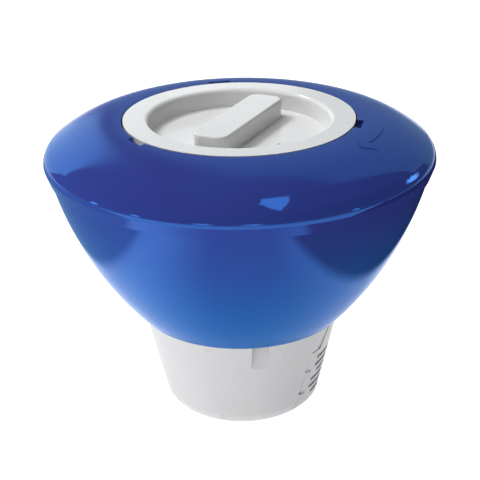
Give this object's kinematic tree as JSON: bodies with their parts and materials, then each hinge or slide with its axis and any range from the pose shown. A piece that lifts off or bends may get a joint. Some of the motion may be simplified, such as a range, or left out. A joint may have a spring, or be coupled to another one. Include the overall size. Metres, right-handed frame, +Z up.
{
  "type": "floating chlorine dispenser",
  "caption": "Round blue pool float with a grey twist-lock lid and a grey telescopic cup below, slotted at its sides so that tablets dissolve slowly into the water.",
  "frame": {"origin": "centre of the cup's foot, with the cup drawn out to its full reach, level with what it stands on", "axes": "+Z up along the float's axis through cup, float and lid; -Y is the front"},
  "size_m": [0.21, 0.21, 0.169],
  "materials": {
    "float_plastic": "glossy deep blue polypropylene",
    "lid_plastic": "satin light grey polypropylene",
    "cup_plastic": "satin light grey polypropylene",
    "tube_plastic": "matte natural grey polypropylene",
    "seal_rubber": "matte black rubber",
    "fastener_steel": "stainless steel"
  },
  "bodies": {
    "float": {"float_top_shell": "float_plastic", "float_bowl": "float_plastic", "well_tube": "tube_plastic", "well_upper_seal": "seal_rubber", "well_lower_seal": "seal_rubber"},
    "lid_seal": {"lid_gasket": "seal_rubber"},
    "lid": {"lid_cap": "lid_plastic"},
    "cup": {"cup_body": "cup_plastic", "cup_brake_ring": "seal_rubber"},
    "regulator": {"dose_shutter": "cup_plastic", "dose_dial": "lid_plastic", "dial_seal": "seal_rubber", "shutter_washer": "fastener_steel", "shutter_screw": "fastener_steel"}
  },
  "joints": [
    {"name": "lid_lift", "type": "slide", "parent": "float", "child": "lid_seal", "axis": [0, 0, 1], "range_m": [0, 0.06]},
    {"name": "lid_twist", "type": "hinge", "parent": "lid_seal", "child": "lid", "pos_m": [0, 0, 0.16], "axis": [0, 0, 1], "range_deg": [-35, 0]},
    {"name": "cup_slide", "type": "slide", "parent": "float", "child": "cup", "axis": [0, 0, 1], "range_m": [0, 0.056]},
    {"name": "dose_turn", "type": "hinge", "parent": "cup", "child": "regulator", "pos_m": [0, 0, 0.02], "axis": [0, 0, 1], "range_deg": [0, 62]}
  ]
}
